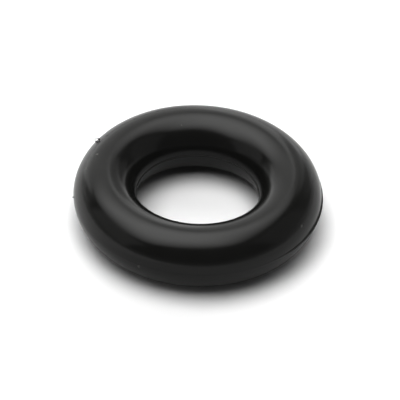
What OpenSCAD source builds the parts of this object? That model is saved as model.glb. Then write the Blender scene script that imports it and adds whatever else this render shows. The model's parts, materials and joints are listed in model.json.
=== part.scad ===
// Moulded rubber O-ring, lying flat, with the trimmed flash that a two-part mould
// leaves along its outer wall and along the wall of its hole.
// Lengths are in millimetres. The origin is the centre of the hole, on the parting
// plane between the mould halves, and +Z runs along the ring's axis.

/* [Ring] */
// Inside diameter, between the smooth walls of the hole
inner_d = 10.46; // [4:0.01:60]
// Diameter of the round section
section_d = 5.33; // [2:0.01:12]

/* [Parting line] */
// Height of the trimmed flash above the outer wall
outer_flash_h = 0.12; // [0.04:0.01:0.3]
// Height of the trimmed flash above the wall of the hole
inner_flash_h = 0.06; // [0.04:0.01:0.3]
// Thickness of the flash, the gap that the mould halves left
flash_t = 0.12; // [0.04:0.01:0.3]
// Radius of the blend between the flash and the wall
blend_r = 0.10; // [0.02:0.01:0.3]

/* [Finish] */
// Colour of the rubber
rubber_colour = "#1c1c1b"; // ["#1c1c1b":Black, "#6b3a22":Brown, "#2f5d3a":Green]

/* [Hidden] */
section_r = section_d / 2;
// Radius of the circle that the section's centre follows
ring_r = inner_d / 2 + section_r;
$fn = 180;

// One side of the blend: the corner under an arc that is tangent to the round
// section and to the upper face of the flash. The section's centre is the origin.
module blend_corner(arc_r) {
    arc_y = flash_t / 2 + arc_r;
    arc_x = sqrt(pow(section_r + arc_r, 2) - pow(arc_y, 2));
    difference() {
        polygon([[0, 0], [arc_x, 0], [arc_x, arc_y]]);
        translate([arc_x, arc_y]) circle(r = arc_r);
    }
}

// The flash that stands out of the section along +X, with a blend above and below.
// A low flash has room only for a blend of its own height.
module flash_profile(flash_h) {
    arc_r = min(blend_r, flash_h);
    translate([0, -flash_t / 2]) square([section_r + flash_h, flash_t]);
    blend_corner(arc_r);
    mirror([0, 1]) blend_corner(arc_r);
}

// The whole section: a round cord with flash on its outer and inner sides.
module ring_section() {
    circle(r = section_r);
    flash_profile(outer_flash_h);
    mirror([1, 0]) flash_profile(inner_flash_h);
}

module o_ring() {
    color(rubber_colour) rotate_extrude() translate([ring_r, 0]) ring_section();
}

o_ring();
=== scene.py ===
# Black rubber O-ring lying on a white table.
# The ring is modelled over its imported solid: a round cord, the flash that its mould left,
# trimmed unevenly, with a torn curl and a few crumbs of it, and specks of dust on top.
import json
from math import atan2, cos, degrees, hypot, pi, radians, sin, sqrt, tan

import bmesh
import bpy
from mathutils import Matrix, Vector, noise


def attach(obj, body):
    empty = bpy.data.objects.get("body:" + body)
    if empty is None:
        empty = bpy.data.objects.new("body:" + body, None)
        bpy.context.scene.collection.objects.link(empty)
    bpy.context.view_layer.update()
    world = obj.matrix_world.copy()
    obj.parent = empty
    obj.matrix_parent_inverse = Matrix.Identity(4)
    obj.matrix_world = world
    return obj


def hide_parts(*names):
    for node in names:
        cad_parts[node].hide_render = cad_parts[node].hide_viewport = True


mm = 0.001
up = Vector((0, 0, 1))
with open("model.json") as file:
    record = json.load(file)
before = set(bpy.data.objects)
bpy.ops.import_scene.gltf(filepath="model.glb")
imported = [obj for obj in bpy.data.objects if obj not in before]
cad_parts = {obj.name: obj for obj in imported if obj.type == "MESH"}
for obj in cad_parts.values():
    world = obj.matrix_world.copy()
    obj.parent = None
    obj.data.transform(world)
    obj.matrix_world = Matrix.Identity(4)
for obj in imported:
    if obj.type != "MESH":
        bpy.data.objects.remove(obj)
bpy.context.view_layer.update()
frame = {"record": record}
mounts = {m["name"]: m for m in frame["record"]["mounts"]}

# Sizes that the solid already has
sectionR = mounts["upper_seal_line"]["pos_m"][2]
outerTipR = mounts["housing_seat"]["dims"]["r_mm"] * mm
innerTipR = mounts["shaft_seat"]["dims"]["r_mm"] * mm
flashT = mounts["housing_seat"]["dims"]["length_mm"] * mm

# Angles run round the ring from the right, counter-clockwise from above, so -90 is the front
ring = {
    "cordSides": 96,  # points round the section
    "spinSteps": 480,  # sections round the ring
    "outerFlash": 0.12 * mm,  # full height of the flash above the outer wall
    "rootBlend": 0.10 * mm,  # round between the wall and the flash, outside
    "rootSteps": 5,
    "innerBlend": 0.04 * mm,  # the same inside the hole
    "innerSteps": 4,
    "tipRound": 0.012 * mm,  # softened edge of the cut
    "tipSteps": 2,
    # share of the flash that the trimming left, by angle
    "outerTrim": ((-180, 0.03), (-120, 0.02), (-66, 0.03), (-52, 0.1), (-46, 0.25), (-38, 0.7),
                  (-20, 0.9), (5, 0.8), (30, 0.5), (90, 0.35), (140, 0.4)),
    "innerTrim": ((-180, 0.7), (-90, 0.6), (0, 0.8), (90, 0.85)),
    "trimRagged": 0.25,  # how far the cut wanders from that, as a share of it
    "ragLength": 0.5 * mm,
    "slowRag": 0.2,  # long waves in the cut to each fine one
    "fineRag": 0.6,  # strength of the fine waves beside the long ones
    "waveDepth": 0.010 * mm,  # slow hollows that the moulding left
    "waveLength": 4.0 * mm,
    "waveMiddle": 0.9,  # in depths
    "waveSwing": 0.5,
    "tornInset": 0.02 * mm,  # from the edge of a face to the root of a torn bit
    "slack": 0.002 * mm,  # points this near a loop are on it
    "weld": 1e-8,  # points this near each other are one, in metres
    "sliceSlack": 1e-9,
}
ringR = outerTipR - ring["outerFlash"] - sectionR
outerWallR = ringR + sectionR
innerWallR = ringR - sectionR
floorZ = -sectionR


def radiusOf(co):
    return hypot(co.x, co.y)


def angleOf(co):
    return degrees(atan2(co.y, co.x))


# Makes an object of a finished bmesh
def intoScene(bm, name):
    mesh = bpy.data.meshes.new(name)
    bm.to_mesh(mesh)
    bm.free()
    obj = bpy.data.objects.new(name, mesh)
    bpy.context.scene.collection.objects.link(obj)
    return obj


# One side of the flash, pushed out of the section's outline at the parting plane
def pushFlash(bm, wallX, tipX):
    halfT = flashT / 2 + ring["slack"]
    onWall = [v for v in bm.verts if abs(v.co.z) < halfT and abs(v.co.x - wallX) < flashT]
    between = [e for e in bm.edges if all(v in onWall for v in e.verts)]
    equator = min(onWall, key=lambda v: abs(v.co.z))
    pushed = bmesh.ops.extrude_edge_only(bm, edges=between)["geom"]
    for v in pushed:
        if isinstance(v, bmesh.types.BMVert):
            v.co.x = tipX
    bmesh.ops.delete(bm, geom=[equator], context="VERTS")


# Edges that run round the ring at this radius, at both faces of the flash
def loopsAt(bm, radius):
    slack = ring["slack"]
    found = []
    for e in bm.edges:
        a, b = e.verts
        level = abs(a.co.z - b.co.z) < slack and abs(abs(a.co.z) - flashT / 2) < slack
        if level and all(abs(radiusOf(v.co) - radius) < slack for v in (a, b)):
            found.append(e)
    return found


def roundOff(bm, edges, size, steps):
    bmesh.ops.bevel(bm, geom=edges, offset=size, offset_type="OFFSET", segments=steps,
                    profile=0.5, affect="EDGES", material=-1, clamp_overlap=True)


# Smooth value at an angle, between the points that were chosen round the ring
def aroundRing(points, angle):
    first, last = points[0], points[-1]
    wrapped = [(last[0] - 360, last[1])] + list(points) + [(first[0] + 360, first[1])]
    for (a0, s0), (a1, s1) in zip(wrapped, wrapped[1:]):
        if a0 <= angle <= a1:
            t = (angle - a0) / (a1 - a0)
            return s0 + (s1 - s0) * t * t * (3 - 2 * t)
    return first[1]


def trimShare(co, outward):
    share = aroundRing(ring["outerTrim"] if outward else ring["innerTrim"], angleOf(co))
    flat = Vector((co.x, co.y, 0)).normalized() * radiusOf(co) / ring["ragLength"]
    ragged = noise.noise(flat * ring["slowRag"]) + ring["fineRag"] * noise.noise(flat)
    return min(share * (1 + ring["trimRagged"] * ragged), 1)


# Cuts the flash down, and notes how much of a cut edge each point is
def trimFlash(bm, cutLayer):
    reach = flashT / 2 + ring["rootBlend"]
    for v in bm.verts:
        if abs(v.co.z) > reach:
            continue
        r = radiusOf(v.co)
        bulge = sqrt(sectionR ** 2 - v.co.z ** 2)
        outward = r > ringR
        wall = ringR + bulge if outward else ringR - bulge
        share = trimShare(v.co, outward)
        atTip = r > outerTipR - ring["tipRound"] or r < innerTipR + ring["tipRound"]
        v[cutLayer] = share if atTip else 0
        trimmed = (wall + (r - wall) * share) / r
        v.co.x *= trimmed
        v.co.y *= trimmed


# Torn bits of flash that stuck to the ring: where each one is, as an angle round the ring and
# one round the section, and its steps outwards and along the ring in millimetres, each with
# its width as a share of the one before
tornBits = {
    "curl": {
        "at": (151.7, 46.5),
        "steps": ((0.07, 0.0, 0.75), (0.05, 0.04, 0.45), (0.09, 0.13, 1.0), (0.08, 0.16, 1.0),
                  (-0.03, 0.10, 1.0), (-0.08, 0.07, 1.0), (-0.12, 0.04, 0.9)),
    },
    "curlEnd": {"at": (154.3, 47.2), "steps": ((0.07, 0.02, 0.75), (0.05, -0.02, 0.6))},
    "shredRoot": {"at": (155.0, 54.6), "steps": ((0.05, 0.0, 0.9),)},
    "crumb": {"at": (149.7, 62.7), "steps": ((0.03, 0.0, 0.7),)},
    "leftNib": {"at": (-174.4, 2.6), "steps": ((0.07, 0.0, 0.95), (0.035, 0.0, 0.8))},
}


def onSurface(roundRing, roundSection):
    a, b = radians(roundRing), radians(roundSection)
    r = ringR + sectionR * cos(b)
    return Vector((r * cos(a), r * sin(a), sectionR * sin(b)))


def pullTornBit(bm, cutLayer, bit):
    spot = onSurface(*bit["at"])
    tip = min(bm.faces, key=lambda f: (f.calc_center_median() - spot).length_squared)
    out = tip.normal.copy()
    along = Vector((-spot.y, spot.x, 0)).normalized()
    bmesh.ops.inset_individual(bm, faces=[tip], thickness=ring["tornInset"], use_even_offset=True)
    heading = out
    for outward, onward, share in bit["steps"]:
        tip = bmesh.ops.extrude_discrete_faces(bm, faces=[tip])["faces"][0]
        verts = tip.verts[:]
        step = (out * outward + along * onward) * mm
        bmesh.ops.translate(bm, verts=verts, vec=step)
        mid = sum((v.co for v in verts), Vector()) / len(verts)
        bend = heading.rotation_difference(step).to_matrix()
        bmesh.ops.rotate(bm, verts=verts, cent=mid, matrix=bend)
        bmesh.ops.scale(bm, verts=verts, vec=(share, share, share), space=Matrix.Translation(-mid))
        heading = step
        for v in verts:
            v[cutLayer] = 1


# Slow hollows, pressed inwards so that the ring never outgrows its solid
def waveSurface(bm):
    for v in bm.verts:
        hub = Vector((v.co.x, v.co.y, 0)).normalized() * ringR
        inward = (hub - v.co).normalized()
        hollow = ring["waveMiddle"] + ring["waveSwing"] * noise.noise(v.co / ring["waveLength"])
        v.co += inward * hollow * ring["waveDepth"]


def buildRing():
    bm = bmesh.new()
    bmesh.ops.create_circle(bm, cap_ends=False, segments=ring["cordSides"], radius=sectionR)
    bmesh.ops.rotate(bm, verts=bm.verts, cent=(0, 0, 0), matrix=Matrix.Rotation(pi / 2, 3, "X"))
    bmesh.ops.translate(bm, verts=bm.verts, vec=(ringR, 0, 0))
    for z in (-flashT / 2, flashT / 2):
        bmesh.ops.bisect_plane(bm, geom=bm.verts[:] + bm.edges[:], dist=ring["sliceSlack"],
                               plane_co=(0, 0, z), plane_no=up)
    rootX = [v.co.x for v in bm.verts if abs(abs(v.co.z) - flashT / 2) < ring["weld"]]
    pushFlash(bm, outerWallR, outerTipR)
    pushFlash(bm, innerWallR, innerTipR)
    bmesh.ops.spin(bm, geom=bm.verts[:] + bm.edges[:], cent=(0, 0, 0), axis=up, dvec=(0, 0, 0),
                   angle=2 * pi, steps=ring["spinSteps"], use_merge=True, use_duplicate=False)
    bmesh.ops.remove_doubles(bm, verts=bm.verts, dist=ring["weld"])
    bmesh.ops.recalc_face_normals(bm, faces=bm.faces)
    roundOff(bm, loopsAt(bm, max(rootX)), ring["rootBlend"], ring["rootSteps"])
    roundOff(bm, loopsAt(bm, min(rootX)), ring["innerBlend"], ring["innerSteps"])
    roundOff(bm, loopsAt(bm, outerTipR), ring["tipRound"], ring["tipSteps"])
    roundOff(bm, loopsAt(bm, innerTipR), ring["tipRound"], ring["tipSteps"])
    cutLayer = bm.verts.layers.float.new("cutEdge")
    trimFlash(bm, cutLayer)
    waveSurface(bm)
    bm.normal_update()
    for bit in tornBits.values():
        pullTornBit(bm, cutLayer, bit)
    bmesh.ops.recalc_face_normals(bm, faces=bm.faces)
    for f in bm.faces:
        f.smooth = True
    return intoScene(bm, "o_ring_moulded")


# A shader node group with the sockets named
def newGroup(name, ins, outs):
    group = bpy.data.node_groups.new(name, "ShaderNodeTree")
    for label, kind in ins:
        group.interface.new_socket(label, in_out="INPUT", socket_type=kind)
    for label, kind in outs:
        group.interface.new_socket(label, in_out="OUTPUT", socket_type=kind)
    return group, group.nodes.new("NodeGroupInput"), group.nodes.new("NodeGroupOutput")


def mapRange(nodes, fromMin, fromMax, toMin, toMax):
    node = nodes.new("ShaderNodeMapRange")
    node.interpolation_type = "SMOOTHSTEP"
    node.inputs["From Min"].default_value = fromMin
    node.inputs["From Max"].default_value = fromMax
    node.inputs["To Min"].default_value = toMin
    node.inputs["To Max"].default_value = toMax
    return node


def noiseAt(nodes, scale, detail):
    node = nodes.new("ShaderNodeTexNoise")
    node.inputs["Scale"].default_value = scale
    node.inputs["Detail"].default_value = detail
    return node


def mathNode(nodes, operation, *values):
    node = nodes.new("ShaderNodeMath")
    node.operation = operation
    for i, value in enumerate(values):
        if value is not None:
            node.inputs[i].default_value = value
    return node


# Lays one colour over what comes in at A
def colourOver(nodes, colour):
    node = nodes.new("ShaderNodeMix")
    node.data_type = "RGBA"
    node.inputs["B"].default_value = colour
    return node


# Each noise is its scale and detail, and each pair of shares is where its effect starts and is full
rubber = {
    "black": (0.0038, 0.0039, 0.0030, 1),
    "bloom": (0.0056, 0.0056, 0.0046, 1),  # thin grey film of wax on the surface
    "bloomNoise": (420, 4),
    "bloomShows": (0.35, 0.7),
    "torn": (0.014, 0.014, 0.013, 1),
    "tornRough": 0.7,
    "gloss": 0.43,  # specular level
    "smooth": 0.16,  # roughness where the mould was polished
    "dull": 0.22,
    "dullNoise": (260, 5),
    "dullShows": (0.35, 0.65),
    "grainHeight": 0.0006 * mm,
    "grainNoise": (5000, 2),
    "dust": (0.09, 0.09, 0.085, 1),
    # specks of it: angle round the ring, angle round the section, radius in millimetres
    "specks": ((167.4, 68.3, 0.15), (104.1, 118.0, 0.10), (-116.6, -3.0, 0.17),
               (-29.7, 29.3, 0.17), (177.1, 51.8, 0.15)),
    "speckNoise": (9000, 2),
    "speckRagged": (1.2, 0.4),  # how the noise changes a speck's radius: times this, plus that
    "speckFades": (0.25, 1.0),  # in radii
}


# One speck: a ragged spot round a point on the surface
def speckGroup():
    given = (("Place", "NodeSocketVector"), ("Centre", "NodeSocketVector"),
             ("Radius", "NodeSocketFloat"))
    made = (("Mask", "NodeSocketFloat"),)
    group, ins, outs = newGroup("dustSpeck", given, made)
    nodes, links = group.nodes, group.links
    away = nodes.new("ShaderNodeVectorMath")
    away.operation = "DISTANCE"
    rag = noiseAt(nodes, *rubber["speckNoise"])
    ragged = mathNode(nodes, "MULTIPLY_ADD", None, *rubber["speckRagged"])
    size = mathNode(nodes, "MULTIPLY")
    part = mathNode(nodes, "DIVIDE")
    spot = mapRange(nodes, *rubber["speckFades"], 1, 0)
    links.new(ins.outputs["Place"], away.inputs[0])
    links.new(ins.outputs["Centre"], away.inputs[1])
    links.new(ins.outputs["Place"], rag.inputs["Vector"])
    links.new(rag.outputs["Fac"], ragged.inputs[0])
    links.new(ragged.outputs[0], size.inputs[0])
    links.new(ins.outputs["Radius"], size.inputs[1])
    links.new(away.outputs["Value"], part.inputs[0])
    links.new(size.outputs[0], part.inputs[1])
    links.new(part.outputs[0], spot.inputs["Value"])
    links.new(spot.outputs["Result"], outs.inputs["Mask"])
    return group


# All the specks, as one mask
def scatterSpecks(nodes, links, place):
    speck = speckGroup()
    mask = None
    for roundRing, roundSection, radius in rubber["specks"]:
        spot = nodes.new("ShaderNodeGroup")
        spot.node_tree = speck
        spot.inputs["Centre"].default_value = onSurface(roundRing, roundSection)
        spot.inputs["Radius"].default_value = radius * mm
        links.new(place, spot.inputs["Place"])
        if mask is None:
            mask = spot.outputs["Mask"]
        else:
            both = mathNode(nodes, "MAXIMUM")
            links.new(mask, both.inputs[0])
            links.new(spot.outputs["Mask"], both.inputs[1])
            mask = both.outputs[0]
    return mask


def mouldedRubber():
    mat = bpy.data.materials.new("mouldedRubber")
    mat.use_nodes = True
    nodes, links = mat.node_tree.nodes, mat.node_tree.links
    shader = nodes["Principled BSDF"]
    shader.inputs["Specular IOR Level"].default_value = rubber["gloss"]
    place = nodes.new("ShaderNodeTexCoord").outputs["Object"]

    film = noiseAt(nodes, *rubber["bloomNoise"])
    links.new(place, film.inputs["Vector"])
    filmShare = mapRange(nodes, *rubber["bloomShows"], 0, 1)
    links.new(film.outputs["Fac"], filmShare.inputs["Value"])
    bloomed = colourOver(nodes, rubber["bloom"])
    bloomed.inputs["A"].default_value = rubber["black"]
    links.new(filmShare.outputs["Result"], bloomed.inputs["Factor"])

    cut = nodes.new("ShaderNodeAttribute")
    cut.attribute_name = "cutEdge"
    torn = colourOver(nodes, rubber["torn"])
    links.new(cut.outputs["Fac"], torn.inputs["Factor"])
    links.new(bloomed.outputs["Result"], torn.inputs["A"])

    specks = scatterSpecks(nodes, links, place)
    dusty = colourOver(nodes, rubber["dust"])
    links.new(specks, dusty.inputs["Factor"])
    links.new(torn.outputs["Result"], dusty.inputs["A"])
    links.new(dusty.outputs["Result"], shader.inputs["Base Color"])

    rub = noiseAt(nodes, *rubber["dullNoise"])
    links.new(place, rub.inputs["Vector"])
    lustre = mapRange(nodes, *rubber["dullShows"], rubber["smooth"], rubber["dull"])
    links.new(rub.outputs["Fac"], lustre.inputs["Value"])
    matt = mathNode(nodes, "MAXIMUM")
    links.new(cut.outputs["Fac"], matt.inputs[0])
    links.new(specks, matt.inputs[1])
    rough = nodes.new("ShaderNodeMix")
    rough.inputs["B"].default_value = rubber["tornRough"]
    links.new(matt.outputs[0], rough.inputs["Factor"])
    links.new(lustre.outputs["Result"], rough.inputs["A"])
    links.new(rough.outputs["Result"], shader.inputs["Roughness"])

    grain = noiseAt(nodes, *rubber["grainNoise"])
    links.new(place, grain.inputs["Vector"])
    bump = nodes.new("ShaderNodeBump")
    bump.inputs["Distance"].default_value = rubber["grainHeight"]
    links.new(grain.outputs["Fac"], bump.inputs["Height"])
    links.new(bump.outputs["Normal"], shader.inputs["Normal"])
    return mat


piece = buildRing()
piece.data.materials.append(mouldedRubber())
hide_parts("o_ring")
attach(piece, "root")
print("ring:", len(piece.data.polygons), "faces")

table = {
    "halfWidth": 1.5,
    "white": 0.8,
    "leftPaintedLight": 1.0,  # painted light: the table's colour is made brighter to the left, where the ring's rim mirrors it
    "paintedLightSpan": (-20 * mm, -12 * mm),
    "rough": 0.6,
    "gloss": 0.0,
}


def layTable():
    bm = bmesh.new()
    bmesh.ops.create_grid(bm, x_segments=1, y_segments=1, size=table["halfWidth"])
    bmesh.ops.translate(bm, verts=bm.verts, vec=(0, 0, floorZ))
    top = intoScene(bm, "white_table")
    mat = bpy.data.materials.new("tableWhite")
    mat.use_nodes = True
    nodes, links = mat.node_tree.nodes, mat.node_tree.links
    shader = nodes["Principled BSDF"]
    shader.inputs["Roughness"].default_value = table["rough"]
    shader.inputs["Specular IOR Level"].default_value = table["gloss"]
    where = nodes.new("ShaderNodeTexCoord")
    apart = nodes.new("ShaderNodeSeparateXYZ")
    # painted light: the table's base colour rises above its white towards the left, standing in for
    # brighter light there
    white = mapRange(nodes, *table["paintedLightSpan"], table["leftPaintedLight"], table["white"])
    links.new(where.outputs["Object"], apart.inputs[0])
    links.new(apart.outputs["X"], white.inputs["Value"])
    links.new(white.outputs["Result"], shader.inputs["Base Color"])
    top.data.materials.append(mat)


layTable()
print("table laid at", round(floorZ / mm, 3), "mm")


# Lights stand by their angles from straight overhead, in degrees to the right and away
def aimAt(right, away):
    tilt = radians(hypot(right, away))
    turn = atan2(away, right)
    return Vector((sin(tilt) * cos(turn), sin(tilt) * sin(turn), cos(tilt)))


# A softbox over the ring, with rounded corners, which only the gloss sees
softbox = {
    "right": -10.3,
    "away": 11.2,
    "turn": 6,
    "reach": 300 * mm,
    "halfWidth": 38.4,  # degrees
    "outlinePoints": 96,
    "squareness": 5.0,  # power of its outline, 2 for a circle
    "glow": 4.75,  # brightness at its middle
    "farGlow": 0.35,
    "fade": (6, 48),  # degrees between which it falls to that
}


# Glows less towards the edge, in the same rounded square as its outline
def softboxFace():
    mat = bpy.data.materials.new("softboxFace")
    mat.use_nodes = True
    nodes, links = mat.node_tree.nodes, mat.node_tree.links
    nodes.clear()
    where = nodes.new("ShaderNodeTexCoord")
    apart = nodes.new("ShaderNodeSeparateXYZ")
    links.new(where.outputs["Object"], apart.inputs[0])
    both = mathNode(nodes, "ADD")
    for i, axis in enumerate("XY"):
        off = mathNode(nodes, "ABSOLUTE")
        scaled = mathNode(nodes, "DIVIDE", None, softbox["reach"])
        raised = mathNode(nodes, "POWER", None, softbox["squareness"])
        links.new(apart.outputs[axis], off.inputs[0])
        links.new(off.outputs[0], scaled.inputs[0])
        links.new(scaled.outputs[0], raised.inputs[0])
        links.new(raised.outputs[0], both.inputs[i])
    far = mathNode(nodes, "POWER", None, 1 / softbox["squareness"])
    near, edge = (tan(radians(d)) for d in softbox["fade"])
    fade = mapRange(nodes, near, edge, softbox["glow"], softbox["farGlow"])
    glow = nodes.new("ShaderNodeEmission")
    out = nodes.new("ShaderNodeOutputMaterial")
    links.new(both.outputs[0], far.inputs[0])
    links.new(far.outputs[0], fade.inputs["Value"])
    links.new(fade.outputs["Result"], glow.inputs["Strength"])
    links.new(glow.outputs["Emission"], out.inputs["Surface"])
    return mat


def hangSoftbox():
    power = softbox["squareness"]
    halfSize = softbox["reach"] * tan(radians(softbox["halfWidth"]))
    bm = bmesh.new()
    bmesh.ops.create_circle(bm, cap_ends=True, segments=softbox["outlinePoints"], radius=1)
    for v in bm.verts:
        v.co *= halfSize / (abs(v.co.x) ** power + abs(v.co.y) ** power) ** (1 / power)
    face = intoScene(bm, "softbox")
    aim = aimAt(softbox["right"], softbox["away"])
    turn = Matrix.Rotation(radians(softbox["turn"]), 3, "Z").to_quaternion()
    face.location = aim * softbox["reach"]
    face.rotation_mode = "QUATERNION"
    face.rotation_quaternion = up.rotation_difference(aim) @ turn
    face.visible_camera = False
    face.visible_diffuse = False
    face.visible_shadow = False
    face.data.materials.append(softboxFace())


hangSoftbox()

# Lamps light the table, and cards show only in the gloss. Sizes are in degrees too.
panels = {
    "topLamp": {"right": -8, "away": -1, "wide": 58, "high": 58, "glow": 3.8},
    "leftLamp": {"right": -68, "away": 0, "wide": 44, "high": 90, "glow": 1.2},
    "rightLamp": {"right": 68, "away": 0, "wide": 44, "high": 90, "glow": 0.55},
    "backLamp": {"right": 15, "away": 62, "wide": 90, "high": 44, "glow": 2.95},
    "backCard": {"right": -21.5, "away": 64, "wide": 57, "high": 35, "glow": 1.52},
    "backRightCard": {"right": 18, "away": 68, "wide": 26, "high": 44, "glow": 0.85},
    "farRightCard": {"right": 42, "away": 62, "wide": 22, "high": 32, "glow": 0.35},
    "leftBackCard": {"right": -60, "away": 45, "wide": 22, "high": 20, "glow": 0.5},
    "leftCard": {"right": -62, "away": -8, "wide": 34, "high": 48, "glow": 0.68},
    "rightCard": {"right": 58, "away": 4, "wide": 44, "high": 44, "glow": 0.35},
}
panelReach = 2.0  # metres from the ring


def standPanel(name, panel):
    data = bpy.data.lights.new(name, "AREA")
    data.shape = "RECTANGLE"
    data.size = 2 * panelReach * tan(radians(panel["wide"] / 2))
    data.size_y = 2 * panelReach * tan(radians(panel["high"] / 2))
    data.energy = panel["glow"] * pi * data.size * data.size_y
    lamp = bpy.data.objects.new(name, data)
    aim = aimAt(panel["right"], panel["away"])
    lamp.location = aim * panelReach
    lamp.rotation_mode = "QUATERNION"
    lamp.rotation_quaternion = up.rotation_difference(aim)
    lamp.visible_camera = False
    lamp.visible_glossy = name.endswith("Card")
    lamp.visible_diffuse = name.endswith("Lamp")
    bpy.context.scene.collection.objects.link(lamp)


for name, panel in panels.items():
    standPanel(name, panel)

# The room: a bright band along the horizon, dim above it, which also only the gloss sees
room = {
    "frontGlow": 0.45,  # of the band, towards the camera
    "backGlow": 1.05,
    "glow": 0.22,  # above the band
    "bandTop": (6, 13),  # degrees of height between which the band ends
}


def buildRoom():
    world = bpy.data.worlds.new("studioRoom")
    world.use_nodes = True
    nodes, links = world.node_tree.nodes, world.node_tree.links
    back = nodes["Background"]
    back.inputs["Color"].default_value = (1, 1, 1, 1)
    where = nodes.new("ShaderNodeTexCoord")
    apart = nodes.new("ShaderNodeSeparateXYZ")
    low, high = (sin(radians(d)) for d in room["bandTop"])
    band = mapRange(nodes, low, high, 0, room["glow"])
    along = mapRange(nodes, -1, 1, room["frontGlow"], room["backGlow"])
    links.new(where.outputs["Generated"], apart.inputs[0])
    links.new(apart.outputs["Y"], along.inputs["Value"])
    links.new(along.outputs["Result"], band.inputs["To Min"])
    links.new(apart.outputs["Z"], band.inputs["Value"])
    links.new(band.outputs["Result"], back.inputs["Strength"])
    world.cycles_visibility.diffuse = False
    bpy.context.scene.world = world


buildRoom()
print("lights:", 1 + len(panels))

# The photo's view of the ring, through a long lens
photo = {
    "pixels": 400,
    "ringPixel": (197.67, 195.07),  # where the ring's centre falls
    "pixelsPerRing": 92.97,  # the ring's middle radius, in pixels
    "elevation": 39.98,
    "roll": -2.18,
    "standOff": 80.0,  # distance in middle radii
    "sensor": 36,
    "clip": (1 * mm, 10),
    "gamma": 0.69,  # its contrast
    "haze": 0.011,  # of a white room, in the lens
}


def setCamera():
    data = bpy.data.cameras.new("camera")
    cam = bpy.data.objects.new("camera", data)
    bpy.context.scene.collection.objects.link(cam)
    bpy.context.scene.camera = cam
    focal = photo["pixelsPerRing"] * photo["standOff"]
    data.sensor_width = photo["sensor"]
    data.lens = focal * data.sensor_width / photo["pixels"]
    data.clip_start, data.clip_end = photo["clip"]
    tilt = radians(photo["elevation"])
    back = Vector((0, -cos(tilt), sin(tilt)))
    roll = Matrix.Rotation(radians(-photo["roll"]), 3, "Z").to_quaternion()
    turn = (-back).to_track_quat("-Z", "Y") @ roll
    half = photo["pixels"] / 2
    perPixel = ringR / photo["pixelsPerRing"]
    offX = (half - photo["ringPixel"][0]) * perPixel
    offY = (photo["ringPixel"][1] - half) * perPixel
    cam.location = back * ringR * photo["standOff"] + turn @ Vector((offX, offY, 0))
    cam.rotation_mode = "QUATERNION"
    cam.rotation_quaternion = turn


def setTone():
    view = bpy.context.scene.view_settings
    view.view_transform = "Standard"
    view.gamma = photo["gamma"]
    view.use_curve_mapping = True
    view.curve_mapping.black_level = [-photo["haze"]] * 3
    view.curve_mapping.update()


setCamera()
setTone()
print("camera set at", photo["elevation"], "degrees")
